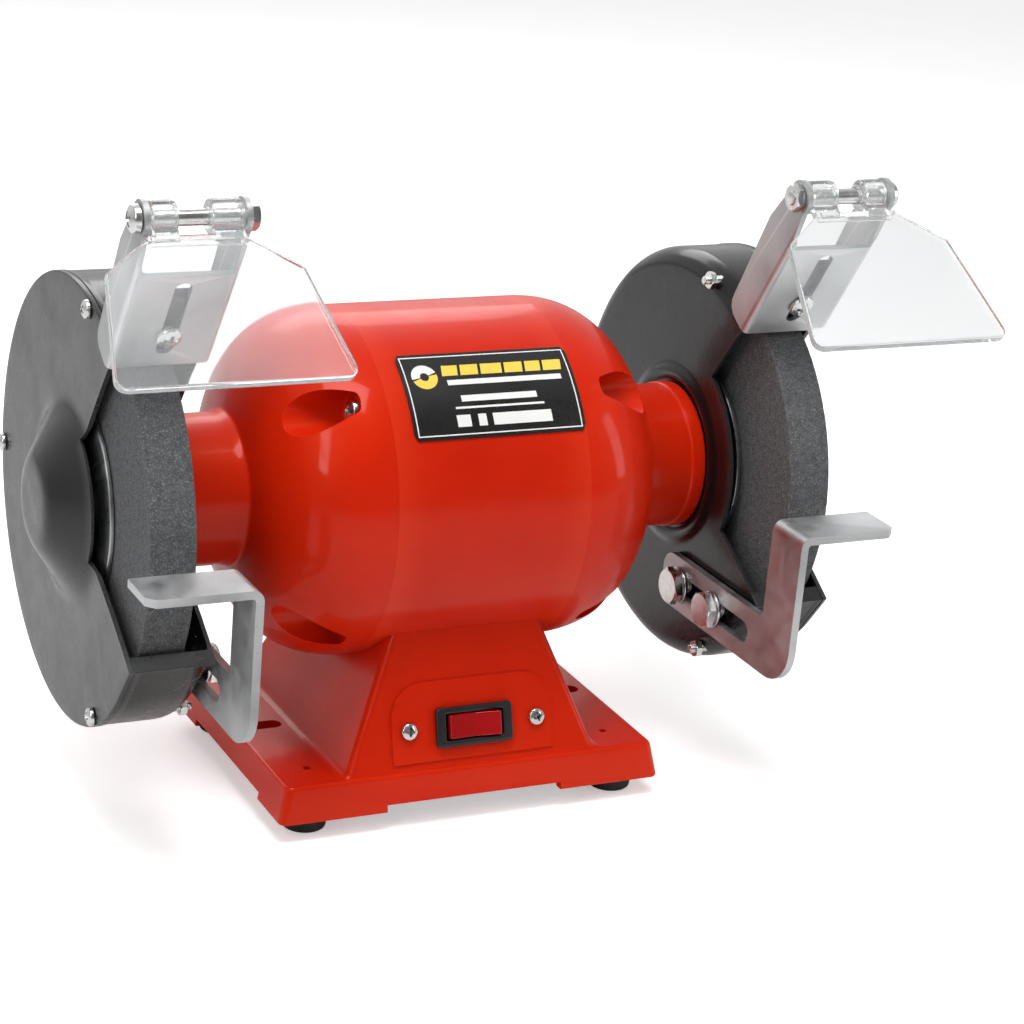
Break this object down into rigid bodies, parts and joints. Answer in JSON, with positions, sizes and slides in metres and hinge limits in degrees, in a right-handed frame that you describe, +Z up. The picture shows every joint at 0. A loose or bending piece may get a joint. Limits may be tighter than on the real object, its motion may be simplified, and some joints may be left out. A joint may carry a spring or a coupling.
{
  "type": "bench grinder",
  "caption": "Bench grinder: a motor on a cast pedestal drives a guarded grinding wheel at each end, each with an adjustable tool rest and a tilting clear eye shield.",
  "frame": {"origin": "middle of the whole machine, on the plane of its feet", "axes": "+X along the shaft to the right as the operator sees it, -Y towards the operator, +Z up"},
  "size_m": [0.331, 0.2099, 0.2408],
  "materials": {
    "red_paint": "gloss",
    "black_enamel": "semi-gloss",
    "zinc_plate": "satin",
    "bare_steel": "satin",
    "abrasive": "matte",
    "black_rubber": "matte",
    "black_plastic": "satin",
    "clear_plastic": "gloss",
    "red_lens": "gloss",
    "copper_wire": "gloss"
  },
  "bodies": {
    "frame": {"motor_barrel": "red_paint", "end_bell_left": "red_paint", "end_bell_right": "red_paint", "motor_bolt_1": "zinc_plate", "motor_bolt_2": "zinc_plate", "motor_bolt_3": "zinc_plate", "motor_bolt_4": "zinc_plate", "stator_core": "bare_steel", "stator_winding_left": "copper_wire", "stator_winding_right": "copper_wire", "shaft_bearing_left": "bare_steel", "shaft_bearing_right": "bare_steel", "name_plate": "black_plastic", "base_casting": "red_paint", "bottom_cover": "zinc_plate", "rubber_foot_1": "black_rubber", "rubber_foot_2": "black_rubber", "rubber_foot_3": "black_rubber", "rubber_foot_4": "black_rubber", "switch_bezel": "black_plastic", "switch_screw_1": "zinc_plate", "switch_screw_2": "zinc_plate", "run_capacitor": "black_plastic", "cord_gland": "black_plastic", "wheel_guard_left": "black_enamel", "guard_cover_left": "black_enamel", "cover_screw_1_left": "zinc_plate", "cover_screw_2_left": "zinc_plate", "cover_screw_3_left": "zinc_plate", "rest_bolt_1_left": "zinc_plate", "rest_bolt_2_left": "zinc_plate", "bracket_screw_left": "zinc_plate", "wheel_guard_right": "black_enamel", "guard_cover_right": "black_enamel", "cover_screw_1_right": "zinc_plate", "cover_screw_2_right": "zinc_plate", "cover_screw_3_right": "zinc_plate", "rest_bolt_1_right": "zinc_plate", "rest_bolt_2_right": "zinc_plate", "bracket_screw_right": "zinc_plate"},
    "rotor": {"motor_shaft": "bare_steel", "rotor_core": "bare_steel", "inner_flange_left": "bare_steel", "inner_flange_right": "bare_steel", "grinding_wheel_left": "abrasive", "grinding_wheel_right": "abrasive", "outer_flange_left": "bare_steel", "outer_flange_right": "bare_steel", "wheel_nut_left": "bare_steel", "wheel_nut_right": "bare_steel"},
    "switch": {"switch_rocker": "red_lens"},
    "rest_left": {"tool_rest_left": "zinc_plate"},
    "bracket_left": {"shield_bracket_left": "zinc_plate", "pivot_rod_left": "zinc_plate"},
    "shield_left": {"eye_shield_left": "clear_plastic"},
    "rest_right": {"tool_rest_right": "zinc_plate"},
    "bracket_right": {"shield_bracket_right": "zinc_plate", "pivot_rod_right": "zinc_plate"},
    "shield_right": {"eye_shield_right": "clear_plastic"}
  },
  "joints": [
    {"name": "rotor_spin", "type": "hinge", "parent": "frame", "child": "rotor", "pos_m": [0, 0.02347, 0.113], "axis": [1, 0, 0], "continuous": true},
    {"name": "switch_rock", "type": "hinge", "parent": "frame", "child": "switch", "pos_m": [0, -0.03553, 0.0346], "axis": [0, 0.2924, 0.9563], "range_deg": [0, 9]},
    {"name": "tool_rest_slide_left", "type": "slide", "parent": "frame", "child": "rest_left", "axis": [0, 1, 0], "range_m": [-0.004, 0.008]},
    {"name": "shield_bracket_slide_left", "type": "slide", "parent": "frame", "child": "bracket_left", "axis": [0, -0.541, 0.841], "range_m": [-0.0015, 0.004]},
    {"name": "eye_shield_tilt_left", "type": "hinge", "parent": "bracket_left", "child": "shield_left", "pos_m": [-0.1248, -0.05103, 0.2344], "axis": [-1, 0, 0], "range_deg": [-18, 65]},
    {"name": "tool_rest_slide_right", "type": "slide", "parent": "frame", "child": "rest_right", "axis": [0, 1, 0], "range_m": [-0.004, 0.008]},
    {"name": "shield_bracket_slide_right", "type": "slide", "parent": "frame", "child": "bracket_right", "axis": [0, -0.541, 0.841], "range_m": [-0.0015, 0.004]},
    {"name": "eye_shield_tilt_right", "type": "hinge", "parent": "bracket_right", "child": "shield_right", "pos_m": [0.1248, -0.05103, 0.2344], "axis": [-1, 0, 0], "range_deg": [-18, 65]}
  ]
}
